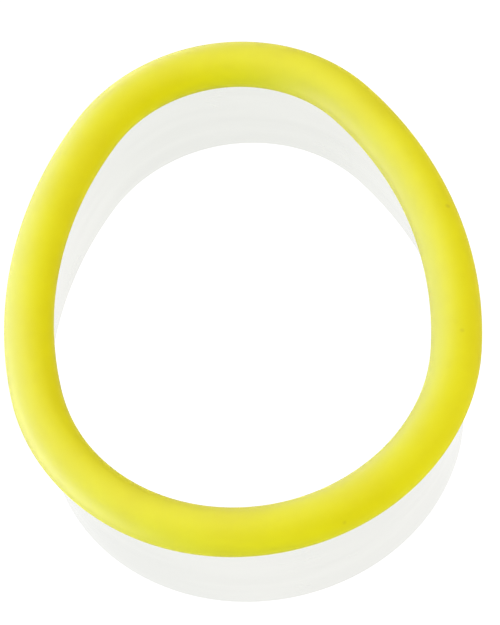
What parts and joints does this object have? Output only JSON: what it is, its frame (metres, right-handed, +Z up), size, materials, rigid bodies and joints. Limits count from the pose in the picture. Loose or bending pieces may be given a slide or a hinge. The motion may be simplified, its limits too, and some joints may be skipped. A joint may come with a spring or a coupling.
{
  "type": "cookie cutter",
  "caption": "Egg-shaped cookie cutter: a thin bent steel band whose lower edge cuts, with a soft oval-section grip moulded over its upper edge.",
  "frame": {"origin": "on the surface the cutter stands on, under the middle of its outline's box", "axes": "+Z up from the cutting edge to the grip, +Y to the egg's pointed end, +X to the flank that has the lapped and welded seam"},
  "size_m": [0.0762, 0.0968, 0.0262],
  "materials": {
    "stainless_steel": "bright rolled strip",
    "soft_yellow_plastic": "soft semi-matte"
  },
  "bodies": {
    "root": {"steel_band": "stainless_steel", "grip": "soft_yellow_plastic"}
  },
  "joints": []
}
